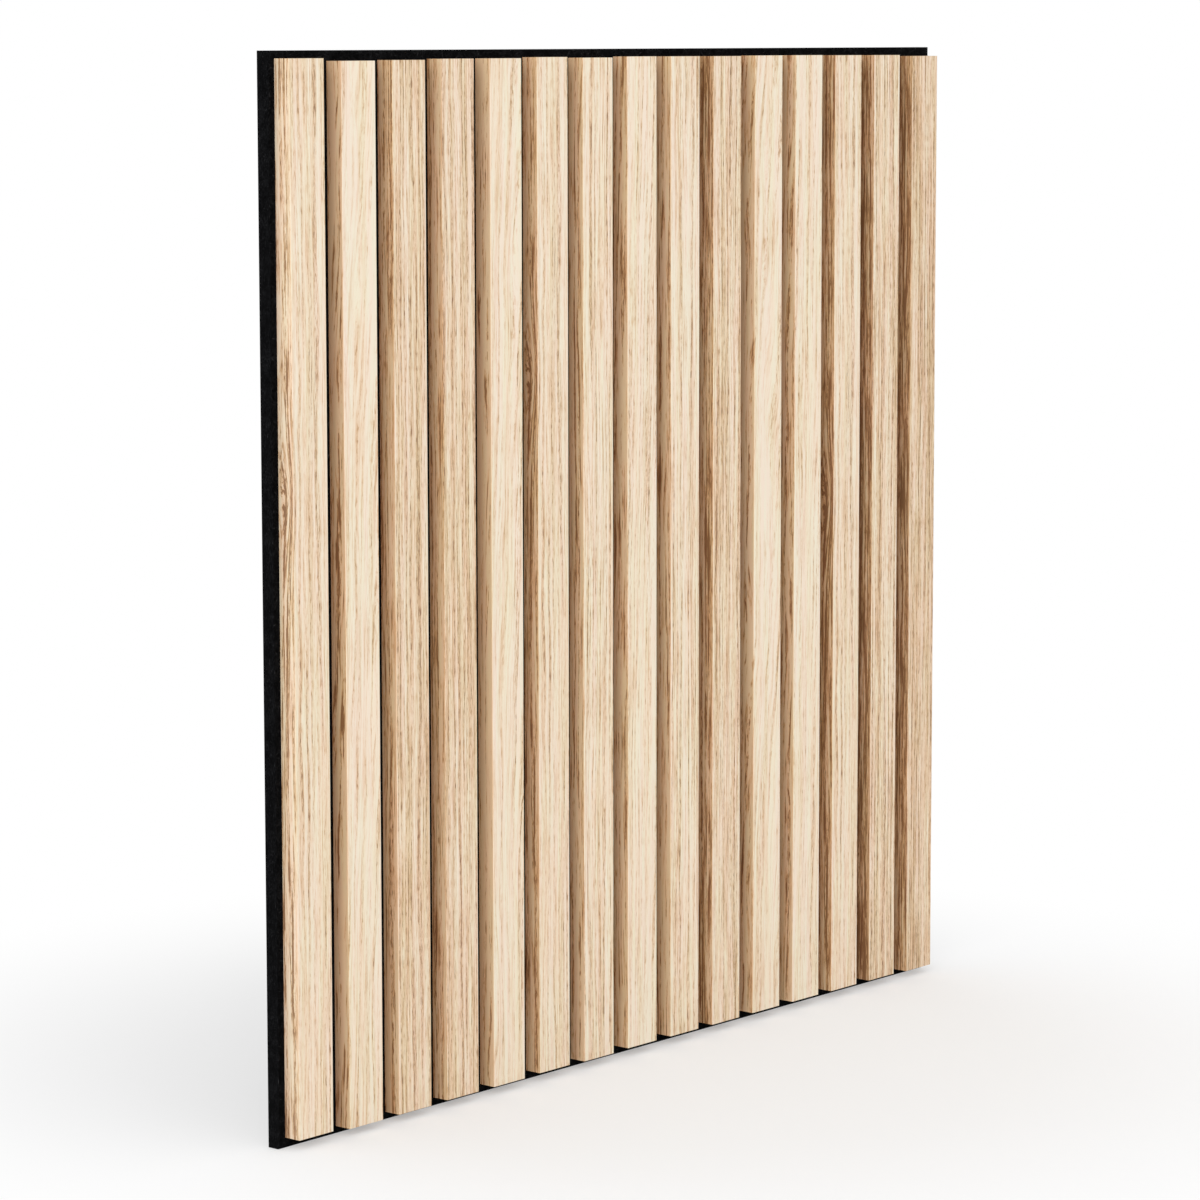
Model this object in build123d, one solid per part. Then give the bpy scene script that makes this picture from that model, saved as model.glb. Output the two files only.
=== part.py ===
"""Slatted acoustic wall panel: veneered slats stapled through a felt board.

Millimetres, +Z up. The back of the felt is the plane y = 0 and goes against the wall.
The slats stand upright on the front of the felt and face -Y. The origin is the middle of the back.
"""

import os

from build123d import *

# Felt board
felt_width = 600.0
felt_height = 600.0
felt_thickness = 8.0
felt_rim_radius = 0.8  # cut edge of the felt, gone soft at the front

# Slats
slat_count = 15
slat_width = 27.0
slat_thickness = 11.0
arris_radius = 0.6  # where the veneer wraps round the two long front edges
side_border = 5.0  # bare felt beside the first and the last slat
end_border = 5.0  # bare felt above and below the slats

# Slats are laid by hand and sit a little high or low. Left to right, repeated if there are more slats.
slat_slip = (0.8, -0.7, -0.5, 0.0, 0.0, 0.5, 0.0, 0.5, 0.4, 0.3, 0.5, 0.5, 0.3, 0.2, -0.5)

# Staples, driven from behind through the felt into the slats
staples_per_slat = 4
staple_end_distance = 45.0  # from the end of a slat to its nearest staple
staple_crown = 12.8  # outside width
staple_bend = 0.5  # corner taken off the outside where the crown turns into a leg
staple_wire_depth = 0.65  # across the bend
staple_wire_width = 0.95
staple_point = 0.45  # chisel cut on the inside of each leg's tip
staple_bite = 5.0  # length of leg held in the slat
staple_sink = 0.25  # the crown is drawn this far under the back of the felt
staple_clearance = 0.03  # all round the wire
staple_point_room = 0.3  # beyond the points of the legs

# Sizes that follow
slat_length = felt_height - 2 * end_border
slat_pitch = (felt_width - 2 * side_border - slat_width) / (slat_count - 1)
first_slat_x = -felt_width / 2 + side_border + slat_width / 2
staple_leg = felt_thickness - staple_sink + staple_bite
staple_spacing = (slat_length - 2 * staple_end_distance) / (staples_per_slat - 1)


def slat_place(index):
    """Middle of a slat's back face, where it is glued to the felt."""
    slip = slat_slip[index % len(slat_slip)]
    return Pos(first_slat_x + index * slat_pitch, -felt_thickness, slip)


def staple_places(index):
    """Where the crowns of one slat's staples lie, on the back of the felt."""
    seat = slat_place(index).position
    lowest = seat.Z - slat_length / 2 + staple_end_distance
    return [Pos(seat.X, 0, lowest + row * staple_spacing) for row in range(staples_per_slat)]


def wire_staple():
    """One staple: the crown along X, the legs towards -Y."""
    with BuildPart() as staple:
        with BuildSketch(Plane.XY) as bow:
            with Locations((0, -staple_sink)):
                Rectangle(staple_crown, staple_leg, align=(Align.CENTER, Align.MAX))
            with Locations((0, -staple_sink - staple_wire_depth)):
                Rectangle(
                    staple_crown - 2 * staple_wire_depth,
                    staple_leg,
                    align=(Align.CENTER, Align.MAX),
                    mode=Mode.SUBTRACT,
                )
            corners = bow.vertices()
            outside_bends = corners.group_by(Axis.Y)[-1]
            inside_tips = corners.group_by(Axis.Y)[0].sort_by(Axis.X)[1:3]
            chamfer(outside_bends, staple_bend)
            chamfer(inside_tips, staple_point)
        extrude(amount=staple_wire_width / 2, both=True)
    return staple.part


def staple_slot():
    """What a staple cuts as it goes in: a groove under the crown and a narrow hole for each leg."""
    room = staple_clearance
    depth = staple_sink + staple_leg + staple_point_room
    groove_depth = staple_sink + staple_wire_depth + room
    with BuildPart() as slot:
        with BuildSketch(Plane.XY):
            Rectangle(staple_crown + 2 * room, depth, align=(Align.CENTER, Align.MAX))
            with Locations((0, -groove_depth)):
                Rectangle(
                    staple_crown - 2 * staple_wire_depth - 2 * room,
                    depth,
                    align=(Align.CENTER, Align.MAX),
                    mode=Mode.SUBTRACT,
                )
        extrude(amount=staple_wire_width / 2 + room, both=True)
    return slot.part


def felt_board():
    """The felt, with its front rim softened and the staple slots through it."""
    board = Box(felt_width, felt_thickness, felt_height, align=(Align.CENTER, Align.MAX, Align.CENTER))
    front = board.faces().sort_by(Axis.Y)[0]
    board = fillet(front.edges(), felt_rim_radius)
    slot = staple_slot()
    slots = [place * slot for index in range(slat_count) for place in staple_places(index)]
    return board - slots


def slat(index):
    """One slat in its place, with the blind holes that its staples made in its back."""
    with BuildPart() as strip:
        with BuildSketch(Plane.XY):
            section = Rectangle(slat_width, slat_thickness, align=(Align.CENTER, Align.MAX))
            fillet(section.vertices().sort_by(Axis.Y)[:2], arris_radius)
        extrude(amount=slat_length / 2, both=True)
    slot = staple_slot()
    return slat_place(index) * strip.part - [place * slot for place in staple_places(index)]


def all_staples():
    """Every staple, as one group of loose fasteners."""
    staple = wire_staple()
    return Compound([place * staple for index in range(slat_count) for place in staple_places(index)])


def main():
    os.makedirs("parts", exist_ok=True)
    export_step(felt_board(), "parts/felt_backing.step")
    for index in range(slat_count):
        export_step(slat(index), f"parts/slat_{index + 1:02d}.step")
    export_step(all_staples(), "parts/back_staples.step")


main()
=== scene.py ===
"""Looks of the slatted wall panel: oak veneer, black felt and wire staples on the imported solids.

Metres, +Z up, and the panel faces -Y. The materials work in millimetres.
"""

import math
from collections import namedtuple

import bmesh
import bpy
from mathutils import Matrix, Vector


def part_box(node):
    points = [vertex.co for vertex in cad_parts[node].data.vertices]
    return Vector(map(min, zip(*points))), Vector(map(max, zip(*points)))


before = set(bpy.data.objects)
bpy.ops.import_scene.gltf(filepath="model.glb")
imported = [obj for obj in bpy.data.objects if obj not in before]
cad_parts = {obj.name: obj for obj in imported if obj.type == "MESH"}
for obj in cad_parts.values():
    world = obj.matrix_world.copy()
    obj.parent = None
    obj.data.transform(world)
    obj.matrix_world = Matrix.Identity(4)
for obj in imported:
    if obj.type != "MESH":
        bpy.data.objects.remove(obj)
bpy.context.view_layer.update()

MM = 0.001
SLAT_NAMES = sorted(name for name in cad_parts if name.startswith("slat_"))
FELT_LOW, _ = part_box("felt_backing")

# Camera, fitted to the slat edges of the photograph
CAMERA_PLACE = (-1.931, -1.618, 0.3077)
CAMERA_HEADING = math.radians(49.798)
CAMERA_PITCH = math.radians(-6.755)
CAMERA_ROLL = math.radians(-0.087)
CAMERA_LENS = 127.78
CAMERA_SENSOR = 36.0
CAMERA_SHIFT_Y = -0.05
CAMERA_CLIP = (0.05, 60.0)

# Light
AMBIENT = 0.82
KEY_PLACE = (-5.3, -3.2, 2.6)
KEY_SIZE = 4.0
KEY_WATTS = 140.0

# Floor
FLOOR_HALF = 6.0
FLOOR_DROP = 0.2 * MM
FLOOR_WHITE = (0.97, 0.97, 0.97)
SHADOW_REACH = (0.22, 0.56)  # the shadow is strongest up to the first, and has faded out at the second
NEAR_WHITE = 0.35  # share of plain white in the floor close to the panel

# Oak from its palest ground to its darkest pores, as light reflected
OAK_TONES = (
    (0.00, (0.905, 0.800, 0.640)),
    (0.30, (0.850, 0.687, 0.508)),
    (0.55, (0.735, 0.528, 0.337)),
    (0.78, (0.545, 0.349, 0.197)),
    (1.00, (0.320, 0.190, 0.105)),
)
PINK_TINGE = (1.0, 0.960, 0.980)
GREEN_TINGE = (0.980, 1.0, 1.0)
YELLOW_TINGE = (1.0, 1.0, 0.955)
# Painted shade on the slats' sides: a browner tint over each side, and a darker one deep in the gap next to
# the felt
SIDE_SHADE_TINT = (0.955, 0.800, 0.635)
DEEP_SHADE_TINT = (0.89, 0.81, 0.77)
OUTER_SHARE = 0.40  # how much of these two tints the panel's own outer sides get
CORE_LIGHT = (0.50, 0.355, 0.225)
CORE_DARK = (0.36, 0.235, 0.135)
OAK_DARKNESS = (0.1, 0.9)
OAK_ROUGHNESS = (0.48, 0.64)  # at these two darknesses
OAK_SPECULAR = 0.30
PORE_BUMP = (0.12, 0.15 * MM)  # strength and depth of the relief

# The grain's features: each one's layer of noise, its size across and along the grain (mm), and the noise's
# detail and roughness
Feature = namedtuple("Feature", "layer across along detail roughness")
WANDER = Feature(1, 26.0, 170.0, 2.0, 0.5)
STREAK = Feature(2, 3.0, 320.0, 3.0, 0.62)
PORE = Feature(3, 0.55, 6.0, 3.0, 0.65)
PORE_DENT = Feature(3, 0.55, 6.0, 1.0, 0.5)
CLOUD = Feature(4, 8.0, 230.0, 2.0, 0.6)
FIBRE = Feature(5, 0.40, 26.0, 2.0, 0.6)
TINGE = Feature(6, 5.0, 90.0, 2.0, 0.5)
YEARS = Feature(7, 11.0, 700.0, 1.0, 0.5)
LINE = Feature(8, 1.0, 38.0, 2.0, 0.6)
SIDE_LINE = Feature(9, 1.6, 42.0, 2.0, 0.6)
FLAME = Feature(10, 5.0, 55.0, 2.0, 0.6)
SEED_STEP = (17.3, 5.9)  # how far apart the noise of two layers or slats lies, across and along

# Where a feature begins to show in its noise, and where it shows in full
STREAK_SHOWS = (0.34, 0.66)
PORE_SHOWS = (0.46, 0.66)
FLAME_SHOWS = (0.42, 0.66)
TINGE_SHOWS = (0.35, 0.65)
CLOUD_SHOWS = (-0.12, 0.12)
FLAME_MEAN = 0.35

# The early growth of a year: where in the year it rises and falls, and how the streaks let it through
EARLY_RISE = (0.0, 0.20)
EARLY_FALL = (0.22, 0.70)
EARLY_IN_STREAKS = (0.38, 0.58)
EARLY_LEAST = 0.40
YEAR_WANDER = 0.9
PORES_EARLY = 0.58
PORES_ELSEWHERE = 0.32

# How much each feature darkens the wood
STREAK_SHARE = 0.20
EARLY_SHARE = 0.11
PORE_SHARE = 0.58
FIBRE_SHARE = 0.36
CLOUD_SHARE = 0.24
LINE_SHARE = 0.85
SIDE_LINE_SHARE = 1.15
MEAN_MARK = 0.235

# Across a slat (mm): where the plain part left of its middle ends, and how far behind the front the looks of
# its sides, painted shade among them, begin and are full
PLAIN_ENDS = (1.0, 9.0)
SIDE_SHADE_BEGINS = (0.05, 0.40)
SIDE_LINES_BEGIN = (0.3, 1.5)
SIDE_GRAIN_BEGINS = (0.3, 2.5)
# how far behind the front the painted shade deep in the gap begins and is full
DEEP = (2.0, 11.0)
OUTER_EDGE = 1.0  # how far from an outer side its own look begins
SIDE_GRAIN = 1.6  # strength of the grain on the sides

# Sawn ends
VENEER = (0.35, 0.65)  # mm from the edge at which the veneer ends, and the core is clear of it
END_FACES = (0.5, 0.8)  # how far a surface faces up or down to count as an end
SPECKLE_SHOWS = (0.35, 0.65)

# Each way of cutting the veneer: how dark it is, how strong its grain, where the heart of the log lies beside
# the strip (mm), how deep under it and how far it dips along the slat (mm), how far its lines sway (mm), the
# width of a year's growth (mm), how much of the grain shows on the plain part left of the middle, how much of
# its pores show, and how strong the brown flames on its sides are
CUT_WORDS = ("tone", "grain", "heart", "depth", "dip", "sway", "year", "plain", "pores", "flames")
CUT_TABLE = {
    "cream": (0.265, 1.85, 30.0, 30.0, 15.0, 15.0, 4.4, 0.75, 0.55, 0.46),
    "pale": (0.240, 1.80, 52.0, 30.0, 12.0, 9.0, 4.0, 0.85, 0.65, 0.38),
    "eye": (0.37, 1.40, -70.0, 8.0, 5.0, 4.0, 4.6, 1.0, 0.80, 0.08),
    "straw": (0.385, 1.90, 80.0, 8.0, 8.0, 5.0, 4.2, 1.0, 0.60, 0.30),
    "rift": (0.515, 1.45, -120.0, 8.0, 2.0, 3.0, 3.8, 1.0, 0.80, 0.10),
    "brown": (0.505, 1.60, -95.0, 8.0, 3.0, 3.0, 3.6, 1.0, 0.80, 0.16),
    "russet": (0.595, 1.45, -95.0, 8.0, 3.0, 3.0, 3.6, 1.0, 0.80, 0.06),
}
CUTS = {name: dict(zip(CUT_WORDS, values)) for name, values in CUT_TABLE.items()}
DIP_LENGTH = 300.0  # mm along the slat over which the heart dips by the cut's dip

# The slats from left to right: the cut, how far its figure is slid along the slat (mm), and how much
# darker its sides are, partly the wood's own tone and partly painted shade (below zero, lighter)
SLAT_CUTS = (
    ("eye", 57.0, 0.12),
    ("cream", 0.0, -0.07),
    ("rift", 0.0, -0.12),
    ("rift", 190.0, -0.12),
    ("cream", 120.0, -0.32),
    ("eye", 111.0, 0.12),
    ("straw", 0.0, -0.17),
    ("pale", 0.0, 0.03),
    ("straw", 240.0, -0.08),
    ("brown", -150.0, 0.14),
    ("cream", -170.0, -0.12),
    ("pale", 140.0, 0.00),
    ("eye", 16.0, 0.38),
    ("brown", 330.0, 0.42),
    ("russet", -310.0, 0.26),
)

# The small eye in some of the figures, on the left side of the slat
EYE_BEHIND = 9.0  # mm back from the front
EYE_REACH = (9.0, 27.0)  # mm across and along
EYE_SPREAD = 0.9  # share by which the growth lines are pushed apart
EYE_DARK = 0.10
EYE_HEART = (0.52, 0.70)  # nearness at which its dark heart begins, and is full
EYE_HEART_DARK = 0.20
EYE_LINES = 1.0  # extra strength of the growth lines round it
EYE_SEED = 5  # the slats with an eye are strips of one sheet, so they share a figure

# Felt: the length and thickness of its fibres (mm), how they lie, and its tones
FELT_FIBRE = (5.0, 0.6, 0.6)
FIBRE_TURNS = tuple(math.radians(turn) for turn in (10, 48, 83, 121, 155))
FIBRE_TILT = (0.12, 0.08)
FIBRE_STEP = (13.0, 5.0, 9.0)
MOTTLE_SCALE = 0.13
FELT_DEEP = (0.0016, 0.0016, 0.0018)
FELT_TOP = (0.0125, 0.0127, 0.0138)
FELT_MOTTLE = (0.0020, 0.0020, 0.0022)
FELT_HAIR = (0.070, 0.070, 0.075)
FELT_LINT = (0.110, 0.110, 0.110)
FELT_SHOWS = (0.50, 0.76)  # where the fibres begin to show in their noise, and show in full
HAIR_SHOWS = (0.74, 0.82)
MOTTLE_SHOWS = (0.35, 0.65)
LINT_SHOWS = (0.765, 0.80)
MOTTLE_SHARE = 0.75
HAIR_SHARE = 0.5
LINT_SHARE = 0.6
FELT_ROUGHNESS = (1.0, 0.85)  # deep in the felt, and on its top fibres
FELT_SPECULAR = 0.02
FELT_BUMP = (0.6, 0.25 * MM)

# Staple wire
WIRE_DULL = (0.42, 0.43, 0.45)
WIRE_BRIGHT = (0.62, 0.62, 0.63)
WIRE_ROUGHNESS = (0.28, 0.46)
WIRE_DRAWN = (0.8, 14.0)  # scale of the drawing marks along and across the wire
DULL_SHOWS = (0.3, 0.7)
DRAWN_SHOWS = (0.2, 0.8)
WIRE_BUMP = (0.2, 0.05 * MM)


class Graph:
    """Short ways to add and join the nodes of one material."""

    def __init__(self, tree):
        self.tree = tree
        self.tree.nodes.clear()

    def node(self, kind, **settings):
        """A new node of this kind, with these settings."""
        made = self.tree.nodes.new(kind)
        for name, value in settings.items():
            setattr(made, name, value)
        return made

    def feed(self, socket, value):
        """A socket takes another node's output, or a plain value."""
        if isinstance(value, bpy.types.NodeSocket):
            self.tree.links.new(value, socket)
        else:
            socket.default_value = value

    def math(self, operation, *values):
        """One sum of the given kind."""
        made = self.node("ShaderNodeMath", operation=operation)
        for socket, value in zip(made.inputs, values):
            self.feed(socket, value)
        return made.outputs[0]

    def vector(self, x, y, z):
        """Three numbers as one point."""
        made = self.node("ShaderNodeCombineXYZ")
        for socket, value in zip(made.inputs, (x, y, z)):
            self.feed(socket, value)
        return made.outputs[0]

    def noise(self, vector, detail=2.0, roughness=0.5, flat=False):
        """Cloudy noise from 0 to 1, with features one unit across."""
        made = self.node("ShaderNodeTexNoise", noise_dimensions="2D" if flat else "3D")
        self.feed(made.inputs["Vector"], vector)
        made.inputs["Scale"].default_value = 1.0
        made.inputs["Detail"].default_value = detail
        made.inputs["Roughness"].default_value = roughness
        return made.outputs["Fac"]

    def add(self, *values):
        """The sum of all these."""
        total = values[0]
        for value in values[1:]:
            total = self.math("ADD", total, value)
        return total

    def times(self, *values):
        """The product of all these."""
        product = values[0]
        for value in values[1:]:
            product = self.math("MULTIPLY", product, value)
        return product

    def ramp(self, value, stops):
        """A colour from this row of stops."""
        made = self.node("ShaderNodeValToRGB")
        marks = made.color_ramp.elements
        while len(marks) < len(stops):
            marks.new(1.0)
        for mark, (place, colour) in zip(marks, stops):
            mark.position = place
            mark.color = (*colour, 1.0)
        self.feed(made.inputs[0], value)
        return made.outputs[0]

    def between(self, value, low, high, to_low=0.0, to_high=1.0, smooth=True):
        """How far the value has gone from low to high, and level beyond them."""
        made = self.node("ShaderNodeMapRange", clamp=True)
        made.interpolation_type = "SMOOTHSTEP" if smooth else "LINEAR"
        for socket, given in zip(made.inputs, (value, low, high, to_low, to_high)):
            self.feed(socket, given)
        return made.outputs[0]

    def mix(self, share, first, second, blend="MIX"):
        """This share of the second colour in the first."""
        made = self.node("ShaderNodeMix", data_type="RGBA", blend_type=blend)
        self.feed(made.inputs[0], share)
        for socket, colour in ((made.inputs[6], first), (made.inputs[7], second)):
            if isinstance(colour, tuple):
                colour = (*colour, 1.0)
            self.feed(socket, colour)
        return made.outputs[2]

    def tint(self, share, colour, tint):
        """The colour with this tint over it."""
        return self.mix(share, colour, tint, "MULTIPLY")


def material(name):
    """A new material and its graph."""
    made = bpy.data.materials.new(name)
    made.use_nodes = True
    return made, Graph(made.node_tree)


def principled(graph, values):
    """The finish: a principled shader on the output, with its sockets by name."""
    shader = graph.node("ShaderNodeBsdfPrincipled")
    for name, value in values.items():
        graph.feed(shader.inputs[name], value)
    output = graph.node("ShaderNodeOutputMaterial")
    graph.feed(output.inputs["Surface"], shader.outputs[0])


def bump(graph, height, strength, distance):
    """Fine relief from a height."""
    made = graph.node("ShaderNodeBump")
    made.inputs["Strength"].default_value = strength
    made.inputs["Distance"].default_value = distance
    graph.feed(made.inputs["Height"], height)
    return made.outputs[0]


def millimetres(graph):
    """The x, y and z of a point of the object, in millimetres."""
    place = graph.node("ShaderNodeTexCoord")
    scaled = graph.node("ShaderNodeVectorMath", operation="SCALE")
    graph.feed(scaled.inputs[0], place.outputs["Object"])
    scaled.inputs["Scale"].default_value = 1 / MM
    split = graph.node("ShaderNodeSeparateXYZ")
    graph.feed(split.inputs[0], scaled.outputs[0])
    return split.outputs


def facing_up(graph):
    """How far a point's surface faces up or down, from 0 to 1."""
    place = graph.node("ShaderNodeTexCoord")
    split = graph.node("ShaderNodeSeparateXYZ")
    graph.feed(split.inputs[0], place.outputs["Normal"])
    return graph.math("ABSOLUTE", split.outputs[2])


class Strip:
    """Where a point lies on a slat's veneer, in millimetres, as if the veneer were laid flat."""

    def __init__(self, graph, slat, slide, seed):
        low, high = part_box(slat)
        x, y, z = millimetres(graph)
        self.graph = graph
        self.seed = seed
        self.half = (high.x - low.x) / 2 / MM
        self.point = graph.vector(x, y, z)
        self.from_middle = graph.add(x, -(low.x + high.x) / 2 / MM)
        self.behind = graph.add(y, -low.y / MM)
        round_corner = graph.times(graph.math("SIGN", self.from_middle), self.behind)
        self.across = graph.add(self.from_middle, round_corner)
        self.along = graph.add(z, -slide)

    def grain(self, feature, across):
        """Noise drawn out along the slat, as this feature needs. Each layer and slat has its own."""
        graph = self.graph
        seed = self.seed + feature.layer
        place = graph.vector(
            graph.add(graph.times(across, 1 / feature.across), seed * SEED_STEP[0]),
            graph.add(graph.times(self.along, 1 / feature.along), seed * SEED_STEP[1]),
            0.0,
        )
        return graph.noise(place, feature.detail, feature.roughness, flat=True)

    def swing(self, feature, across):
        """The same noise, swinging about zero."""
        return self.graph.add(self.grain(feature, across), -0.5)


def small_eye(graph, strip, cut):
    """What the small eye does: pushes the growth lines aside, darkens the wood and strengthens the lines."""
    if cut != "eye":
        return 0.0, 0.0, 1.0
    beside = graph.add(strip.across, strip.half + EYE_BEHIND)
    wide = graph.times(beside, 1 / EYE_REACH[0])
    tall = graph.times(strip.along, 1 / EYE_REACH[1])
    apart = graph.add(graph.times(wide, wide), graph.times(tall, tall))
    near = graph.math("EXPONENT", graph.times(apart, -1.0))
    push = graph.times(near, beside, -EYE_SPREAD)
    heart = graph.times(graph.between(near, *EYE_HEART), EYE_HEART_DARK)
    dark = graph.add(graph.times(near, EYE_DARK), heart)
    lines = graph.add(graph.times(near, EYE_LINES), 1.0)
    return push, dark, lines


def growth_radius(graph, bent, along, form):
    """How far this point of the veneer grew from the heart of the log."""
    beside = graph.add(bent, -form["heart"])
    below = graph.add(graph.times(along, form["dip"] / DIP_LENGTH), form["depth"])
    return graph.math("SQRT", graph.add(graph.times(beside, beside), graph.times(below, below)))


def early_growth(graph, strip, radius, wander, streaks, form):
    """The dark lines that grow early in each year, which fade in and out with the streaks."""
    uneven = graph.times(strip.grain(YEARS, radius), YEARS.across / form["year"])
    years = graph.add(graph.times(radius, 1 / form["year"]), graph.times(wander, YEAR_WANDER), uneven)
    phase = graph.math("FRACT", years)
    early = graph.times(graph.between(phase, *EARLY_RISE), graph.between(phase, *EARLY_FALL, 1.0, 0.0))
    return graph.times(early, graph.between(streaks, *EARLY_IN_STREAKS, EARLY_LEAST, 1.0))


def pore_dashes(graph, strip, radius, early):
    """Short dark dashes, thick in the early growth and thin elsewhere."""
    dashes = graph.between(strip.grain(PORE, radius), *PORE_SHOWS)
    return graph.times(dashes, graph.add(graph.times(early, PORES_EARLY), PORES_ELSEWHERE))


def grain_strength(graph, strip, form):
    """How strongly the grain shows: less on the plain part of the front, and most on the sides."""
    front = graph.between(strip.across, *PLAIN_ENDS, form["plain"], 1.0)
    side = graph.between(strip.behind, *SIDE_GRAIN_BEGINS, form["plain"], SIDE_GRAIN)
    return graph.math("MAXIMUM", front, side)


def wood_darkness(graph, strip, cut):
    """How dark each point of the veneer is, and its broad clouds."""
    form = CUTS[cut]
    eye_push, eye_dark, eye_lines = small_eye(graph, strip, cut)
    wander = strip.swing(WANDER, strip.across)
    bent = graph.add(strip.across, graph.times(wander, form["sway"]), eye_push)
    radius = growth_radius(graph, bent, strip.along, form)
    on_side = graph.between(strip.behind, *SIDE_LINES_BEGIN)

    streaks = strip.grain(STREAK, radius)
    early = graph.times(early_growth(graph, strip, radius, wander, streaks, form), eye_lines)
    clouds = strip.swing(CLOUD, bent)
    marks = graph.add(
        graph.times(graph.between(streaks, *STREAK_SHOWS), STREAK_SHARE),
        graph.times(early, EARLY_SHARE),
        graph.times(pore_dashes(graph, strip, radius, early), PORE_SHARE * form["pores"]),
        graph.times(strip.swing(FIBRE, bent), FIBRE_SHARE),
        graph.times(strip.swing(LINE, radius), LINE_SHARE),
        graph.times(strip.swing(SIDE_LINE, bent), on_side, SIDE_LINE_SHARE),
        graph.times(clouds, CLOUD_SHARE),
        -MEAN_MARK,
    )
    marks = graph.times(marks, grain_strength(graph, strip, form), form["grain"])

    flames = graph.add(graph.between(strip.grain(FLAME, radius), *FLAME_SHOWS), -FLAME_MEAN)
    flames = graph.times(flames, on_side, form["flames"])
    return graph.add(marks, flames, eye_dark, form["tone"]), clouds


def tinged(graph, strip, clouds, colour):
    """Pink, green and yellow tinges that come and go along the wood."""
    tinge = graph.between(strip.grain(TINGE, strip.across), *TINGE_SHOWS)
    colour = graph.tint(1.0, colour, graph.mix(tinge, GREEN_TINGE, PINK_TINGE))
    return graph.tint(graph.between(clouds, *CLOUD_SHOWS), colour, YELLOW_TINGE)


def painted_side_shade(graph, strip, on_side, outer, colour):
    """Painted shade on the sides: a browner, darker tint, most of all deep in the gap next to the felt. The
    panel's own outer sides get less of it.
    """
    toward_outside = graph.times(strip.from_middle, outer)
    inner = graph.between(toward_outside, strip.half - OUTER_EDGE, strip.half, 1.0, OUTER_SHARE)
    colour = graph.tint(graph.times(on_side, inner), colour, SIDE_SHADE_TINT)
    return graph.tint(graph.times(graph.between(strip.behind, *DEEP), inner), colour, DEEP_SHADE_TINT)


def sawn_ends(graph, strip, colour):
    """Pressed fibre board at the sawn ends, with the veneer a thin line round it."""
    from_side = graph.add(strip.half, graph.times(graph.math("ABSOLUTE", strip.from_middle), -1.0))
    inside = graph.between(graph.math("MINIMUM", strip.behind, from_side), *VENEER)
    at_end = graph.between(facing_up(graph), *END_FACES)
    speckle = graph.between(graph.noise(strip.point, detail=3.0, roughness=0.7), *SPECKLE_SHOWS)
    core = graph.mix(speckle, CORE_DARK, CORE_LIGHT)
    return graph.mix(graph.times(at_end, inside), colour, core)


def oak_veneer(slat, cut, slide, side, seed, outer):
    """Oak veneer wrapped round one slat, with the board's core showing at its sawn ends."""
    made, graph = material("oak_" + slat)
    strip = Strip(graph, slat, slide, seed)
    dark, clouds = wood_darkness(graph, strip, cut)
    # the sides darker by the slat's side value: partly the wood's own tone, partly painted shade
    on_side = graph.between(strip.behind, *SIDE_SHADE_BEGINS)
    dark = graph.add(dark, graph.times(on_side, side))
    colour = graph.ramp(dark, OAK_TONES)
    colour = tinged(graph, strip, clouds, colour)
    # painted shade: the sides darker and browner, most of all next to the felt
    colour = painted_side_shade(graph, strip, on_side, outer, colour)
    colour = sawn_ends(graph, strip, colour)
    principled(graph, {
        "Base Color": colour,
        "Roughness": graph.between(dark, *OAK_DARKNESS, *OAK_ROUGHNESS),
        "Specular IOR Level": OAK_SPECULAR,
        "Normal": bump(graph, strip.grain(PORE_DENT, strip.across), *PORE_BUMP),
    })
    return made


def matted_fibres(graph, place):
    """Long thin noise laid over itself every way: the uppermost fibre at each point."""
    matted = 0.0
    for layer, turn in enumerate(FIBRE_TURNS):
        mapping = graph.node("ShaderNodeMapping", vector_type="TEXTURE")
        graph.feed(mapping.inputs["Vector"], place)
        mapping.inputs["Rotation"].default_value = (FIBRE_TILT[0], turn, FIBRE_TILT[1])
        mapping.inputs["Scale"].default_value = FELT_FIBRE
        mapping.inputs["Location"].default_value = tuple(layer * step for step in FIBRE_STEP)
        matted = graph.math("MAXIMUM", matted, graph.noise(mapping.outputs[0], detail=1.0))
    return matted


def black_felt():
    """Pressed black felt: fine matted fibres lying every way, with a few paler hairs and bits of lint."""
    made, graph = material("black_felt")
    x, y, z = millimetres(graph)
    place = graph.vector(x, y, z)
    matted = matted_fibres(graph, place)
    fibres = graph.between(matted, *FELT_SHOWS)
    hairs = graph.between(matted, *HAIR_SHOWS)
    broad = graph.vector(*(graph.times(axis, MOTTLE_SCALE) for axis in (x, y, z)))
    mottle = graph.between(graph.noise(broad, detail=4.0, roughness=0.7), *MOTTLE_SHOWS)
    rough = graph.noise(place, detail=2.0)
    lint = graph.between(rough, *LINT_SHOWS)
    colour = graph.mix(fibres, FELT_DEEP, FELT_TOP)
    colour = graph.mix(graph.times(mottle, MOTTLE_SHARE), colour, FELT_MOTTLE)
    colour = graph.mix(graph.times(hairs, HAIR_SHARE), colour, FELT_HAIR)
    colour = graph.mix(graph.times(lint, LINT_SHARE), colour, FELT_LINT)
    principled(graph, {
        "Base Color": colour,
        "Roughness": graph.between(fibres, 0.0, 1.0, *FELT_ROUGHNESS),
        "Specular IOR Level": FELT_SPECULAR,
        "Normal": bump(graph, rough, *FELT_BUMP),
    })
    return made


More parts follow.
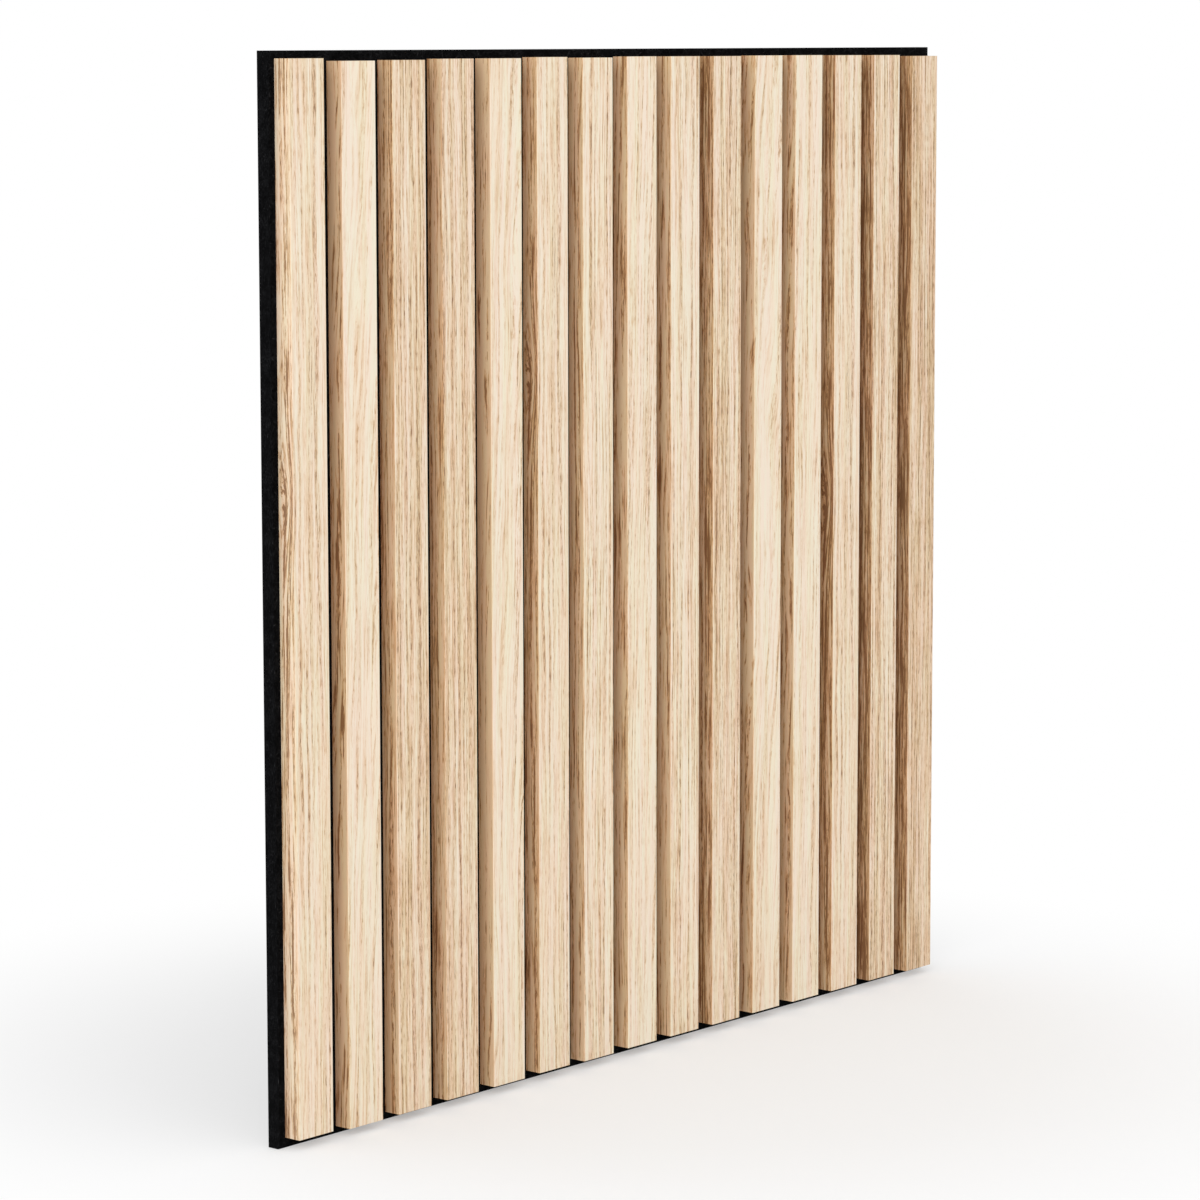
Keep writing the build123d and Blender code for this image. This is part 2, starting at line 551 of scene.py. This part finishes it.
def staple_wire():
    """Galvanised wire, drawn along its length and a little dulled."""
    made, graph = material("staple_wire")
    x, y, z = millimetres(graph)
    lengthwise = graph.vector(graph.times(x, WIRE_DRAWN[0]), y, graph.times(z, WIRE_DRAWN[1]))
    drawn = graph.noise(lengthwise, detail=3.0, roughness=0.6)
    dull = graph.noise(graph.vector(x, y, z), detail=2.0)
    principled(graph, {
        "Base Color": graph.mix(graph.between(dull, *DULL_SHOWS), WIRE_DULL, WIRE_BRIGHT),
        "Metallic": 1.0,
        "Roughness": graph.between(drawn, *DRAWN_SHOWS, *WIRE_ROUGHNESS),
        "Normal": bump(graph, drawn, *WIRE_BUMP),
    })
    return made


def finish_node(node, made):
    """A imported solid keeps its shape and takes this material."""
    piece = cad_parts[node]
    piece.data.materials.clear()
    piece.data.materials.append(made)


def finish_slats():
    """Each slat gets its own cut of veneer."""
    outer_sides = {0: -1.0, len(SLAT_NAMES) - 1: 1.0}
    for number, (slat, (cut, slide, side)) in enumerate(zip(SLAT_NAMES, SLAT_CUTS)):
        seed = EYE_SEED if cut == "eye" else number
        outer = outer_sides.get(number, 0.0)
        finish_node(slat, oak_veneer(slat, cut, slide, side, seed, outer))


def seen_by_eye(graph):
    """1 for rays that show the surroundings: straight to the camera, by reflection or through glass."""
    paths = graph.node("ShaderNodeLightPath").outputs
    shown = graph.math("MAXIMUM", paths["Is Camera Ray"], paths["Is Glossy Ray"])
    return graph.math("MAXIMUM", shown, paths["Is Transmission Ray"])


def floor_plane():
    """A wide flat square just under the panel."""
    mesh = bpy.data.meshes.new("floor")
    shape = bmesh.new()
    bmesh.ops.create_grid(shape, x_segments=1, y_segments=1, size=FLOOR_HALF)
    bmesh.ops.translate(shape, verts=shape.verts, vec=(0, 0, FELT_LOW.z - FLOOR_DROP))
    shape.to_mesh(mesh)
    shape.free()
    floor = bpy.data.objects.new("floor", mesh)
    bpy.context.scene.collection.objects.link(floor)
    return floor


def floor_finish():
    """Pale and matt, fading into the white round it and keeping the panel's shadow."""
    made, graph = material("pale_floor")
    x, y, _ = millimetres(graph)
    away = graph.math("SQRT", graph.add(graph.times(x, x), graph.times(y, y)))
    near, far = (reach / MM for reach in SHADOW_REACH)
    white_share = graph.times(graph.between(away, near, far, NEAR_WHITE, 1.0), seen_by_eye(graph))
    lit = graph.node("ShaderNodeBsdfDiffuse")
    lit.inputs["Color"].default_value = (*FLOOR_WHITE, 1.0)
    white = graph.node("ShaderNodeEmission")
    join = graph.node("ShaderNodeMixShader")
    graph.feed(join.inputs[0], white_share)
    graph.feed(join.inputs[1], lit.outputs[0])
    graph.feed(join.inputs[2], white.outputs[0])
    graph.feed(graph.node("ShaderNodeOutputMaterial").inputs["Surface"], join.outputs[0])
    return made


def pale_floor():
    """The plain pale floor, which isn't part of the object."""
    floor = floor_plane()
    floor.data.materials.append(floor_finish())


def studio_world():
    """Even white light from all round, and a white background."""
    world = bpy.data.worlds.new("studio")
    bpy.context.scene.world = world
    world.use_nodes = True
    graph = Graph(world.node_tree)
    background = graph.node("ShaderNodeBackground")
    background.inputs["Color"].default_value = (1.0, 1.0, 1.0, 1.0)
    strength = graph.between(seen_by_eye(graph), 0.0, 1.0, AMBIENT, 1.0, smooth=False)
    graph.feed(background.inputs["Strength"], strength)
    graph.feed(graph.node("ShaderNodeOutputWorld").inputs["Surface"], background.outputs[0])


def soft_light(name, place, size, watts):
    """A large soft box, aimed at the middle of the panel."""
    lamp = bpy.data.lights.new(name, "AREA")
    lamp.shape = "SQUARE"
    lamp.size = size
    lamp.energy = watts
    made = bpy.data.objects.new(name, lamp)
    bpy.context.scene.collection.objects.link(made)
    made.location = place
    made.rotation_euler = (-Vector(place)).to_track_quat("-Z", "Y").to_euler()


def photo_camera():
    """The camera where the photographer stood."""
    lens = bpy.data.cameras.new("camera")
    lens.lens = CAMERA_LENS
    lens.sensor_width = CAMERA_SENSOR
    lens.shift_y = CAMERA_SHIFT_Y
    lens.clip_start, lens.clip_end = CAMERA_CLIP
    made = bpy.data.objects.new("camera", lens)
    bpy.context.scene.collection.objects.link(made)
    turn = (
        Matrix.Rotation(-CAMERA_HEADING, 4, "Z")
        @ Matrix.Rotation(math.pi / 2 + CAMERA_PITCH, 4, "X")
        @ Matrix.Rotation(CAMERA_ROLL, 4, "Z")
    )
    made.matrix_world = Matrix.Translation(CAMERA_PLACE) @ turn
    bpy.context.scene.camera = made


finish_slats()
finish_node("felt_backing", black_felt())
finish_node("back_staples", staple_wire())

pale_floor()
studio_world()
soft_light("key", KEY_PLACE, KEY_SIZE, KEY_WATTS)
photo_camera()
bpy.context.scene.view_settings.view_transform = "Standard"
